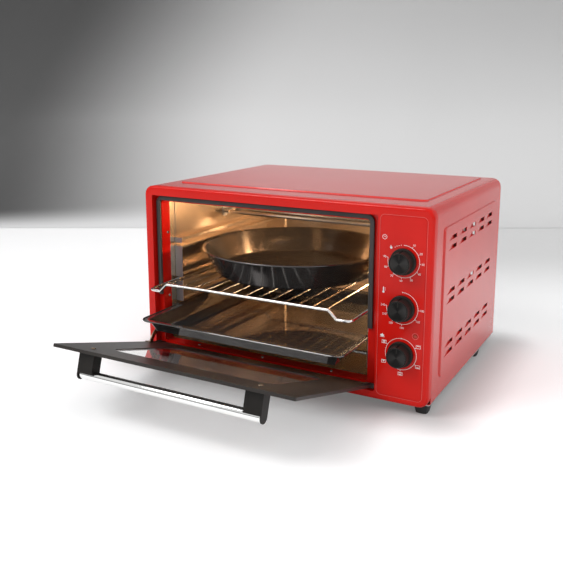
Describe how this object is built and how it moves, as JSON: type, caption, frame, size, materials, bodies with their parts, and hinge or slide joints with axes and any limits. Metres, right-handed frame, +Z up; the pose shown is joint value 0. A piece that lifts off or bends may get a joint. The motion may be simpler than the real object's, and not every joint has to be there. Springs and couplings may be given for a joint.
{
  "type": "mini oven",
  "caption": "Countertop mini oven with an open drop-down glass door, control knobs, louvred steel casing, wire rack, baking tray and round pan.",
  "frame": {"origin": "middle of the underside of the bounding box of the whole oven with its door open, on the surface that the feet stand on", "axes": "+X to the right seen from the front, +Y from the front to the back, +Z up; the front panel's face is at y = -0.0722"},
  "size_m": [0.524, 0.6456, 0.32],
  "materials": {
    "red_enamel": "gloss baked enamel",
    "aluminised_steel": "satin aluminised liner",
    "zinc_steel": "zinc plated",
    "black_enamel": "gloss coated",
    "black_paint": "satin black paint",
    "black_plastic": "satin moulded",
    "chrome": "polished",
    "glass": "clear tempered",
    "silicone": "matte dark grey silicone",
    "ceramic": "unglazed ceramic",
    "heater_sheath": "satin stainless sheath",
    "amber_lens": "clear amber",
    "rubber": "matte"
  },
  "bodies": {
    "casing": {"outer_casing": "red_enamel", "front_panel": "red_enamel", "rear_panel": "zinc_steel", "cord_grommet": "rubber", "base_plate": "zinc_steel", "foot_left_front": "rubber", "foot_right_front": "rubber", "foot_left_rear": "rubber", "foot_right_rear": "rubber", "chamber_floor": "aluminised_steel", "chamber_ceiling": "aluminised_steel", "chamber_left_wall": "aluminised_steel", "chamber_right_wall": "aluminised_steel", "chamber_back_wall": "aluminised_steel", "left_side_runner": "aluminised_steel", "right_side_runner": "aluminised_steel", "door_gasket": "silicone", "upper_heater": "heater_sheath", "lower_heater": "heater_sheath", "upper_front_heater_bush": "ceramic", "upper_rear_heater_bush": "ceramic", "lower_front_heater_bush": "ceramic", "lower_rear_heater_bush": "ceramic", "upper_heater_holder": "zinc_steel", "lower_heater_holder": "zinc_steel", "lamp_glass": "glass", "lamp_holder": "ceramic", "left_hinge_pin": "zinc_steel", "right_hinge_pin": "zinc_steel", "function_switch": "black_plastic", "thermostat": "ceramic", "timer_switch": "zinc_steel", "indicator_lens": "amber_lens", "heat_shield": "zinc_steel", "terminal_block": "ceramic"},
    "door": {"door_frame": "black_paint", "door_glass": "glass", "left_hinge_knuckle": "black_paint", "right_hinge_knuckle": "black_paint", "door_stay": "zinc_steel", "left_handle_bracket": "black_plastic", "right_handle_bracket": "black_plastic", "handle_rod": "chrome"},
    "rack": {"wire_rack": "chrome"},
    "pan": {"round_pan": "black_enamel"},
    "tray": {"baking_tray": "black_enamel"},
    "function_dial": {"function_knob": "black_plastic", "function_shaft": "zinc_steel"},
    "temperature_dial": {"temperature_knob": "black_plastic", "temperature_shaft": "zinc_steel"},
    "timer_dial": {"timer_knob": "black_plastic", "timer_shaft": "zinc_steel"}
  },
  "joints": [
    {"name": "door_hinge", "type": "hinge", "parent": "casing", "child": "door", "pos_m": [0, -0.06757, 0.034], "axis": [-1, 0, 0], "range_deg": [0, 73.6]},
    {"name": "rack_slide", "type": "slide", "parent": "casing", "child": "rack", "axis": [0, 1, 0], "range_m": [0, 0.0481]},
    {"name": "pan_lift", "type": "slide", "parent": "rack", "child": "pan", "axis": [0, 0, 1], "range_m": [0, 0.02]},
    {"name": "tray_slide", "type": "slide", "parent": "casing", "child": "tray", "axis": [0, 1, 0], "range_m": [0, 0.0781]},
    {"name": "function_turn", "type": "hinge", "parent": "casing", "child": "function_dial", "pos_m": [0.2155, -0.07217, 0.095], "axis": [0, 1, 0], "range_deg": [0, 300]},
    {"name": "temperature_turn", "type": "hinge", "parent": "casing", "child": "temperature_dial", "pos_m": [0.2155, -0.07217, 0.1659], "axis": [0, 1, 0], "range_deg": [0, 290]},
    {"name": "timer_turn", "type": "hinge", "parent": "casing", "child": "timer_dial", "pos_m": [0.2155, -0.07217, 0.2368], "axis": [0, 1, 0], "range_deg": [-45, 280]}
  ],
  "couplings": [
    {"joint": "rack_slide", "follows": "door_hinge", "m_per_rad": 0.037366},
    {"joint": "tray_slide", "follows": "door_hinge", "m_per_rad": 0.060721}
  ]
}
